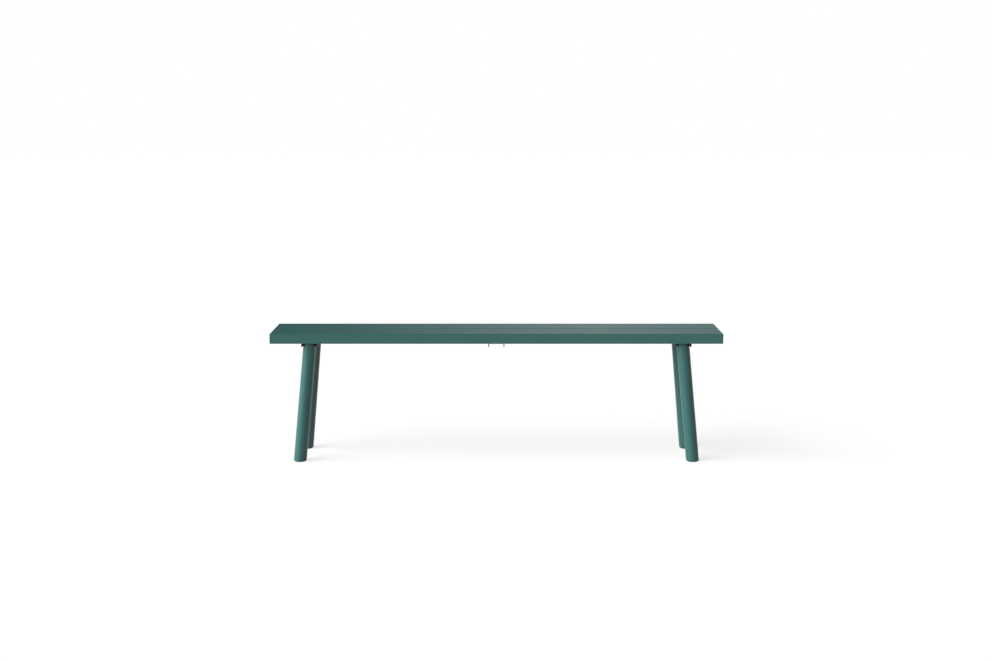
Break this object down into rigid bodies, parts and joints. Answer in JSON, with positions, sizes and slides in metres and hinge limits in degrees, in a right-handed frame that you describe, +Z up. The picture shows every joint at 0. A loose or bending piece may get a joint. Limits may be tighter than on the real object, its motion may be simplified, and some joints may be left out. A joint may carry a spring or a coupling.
{
  "type": "backless bench",
  "caption": "Long backless bench: a two-plank lacquered seat on black U-channels, with round legs that lean outwards and stand on plastic glides.",
  "frame": {"origin": "on the floor below the middle of the seat", "axes": "+X along the seat to its right end, +Y across the seat to its rear edge, +Z up"},
  "size_m": [1.6, 0.2526, 0.463],
  "materials": {
    "seat_lacquer": "satin dark green lacquer over wood",
    "leg_lacquer": "satin dark green lacquer over wood",
    "black_steel": "fine matt black powder coat",
    "zinc_screws": "bright zinc plated",
    "yellow_zinc": "yellow zinc plated",
    "bright_steel": "ground steel",
    "glide_plastic": "moulded black plastic"
  },
  "bodies": {
    "root": {"front_plank": "seat_lacquer", "rear_plank": "seat_lacquer", "left_leg_channel": "black_steel", "middle_channel": "black_steel", "right_leg_channel": "black_steel", "left_channel_screws": "zinc_screws", "middle_channel_screws": "zinc_screws", "right_channel_screws": "zinc_screws", "front_left_leg": "leg_lacquer", "front_right_leg": "leg_lacquer", "rear_left_leg": "leg_lacquer", "rear_right_leg": "leg_lacquer", "front_left_insert": "yellow_zinc", "front_right_insert": "yellow_zinc", "rear_left_insert": "yellow_zinc", "rear_right_insert": "yellow_zinc", "front_left_bolt": "zinc_screws", "front_right_bolt": "zinc_screws", "rear_left_bolt": "zinc_screws", "rear_right_bolt": "zinc_screws", "front_left_washer": "zinc_screws", "front_right_washer": "zinc_screws", "rear_left_washer": "zinc_screws", "rear_right_washer": "zinc_screws", "front_left_pin": "bright_steel", "front_right_pin": "bright_steel", "rear_left_pin": "bright_steel", "rear_right_pin": "bright_steel", "front_left_glide": "glide_plastic", "front_right_glide": "glide_plastic", "rear_left_glide": "glide_plastic", "rear_right_glide": "glide_plastic", "front_left_glide_screw": "zinc_screws", "front_right_glide_screw": "zinc_screws", "rear_left_glide_screw": "zinc_screws", "rear_right_glide_screw": "zinc_screws"}
  },
  "joints": []
}
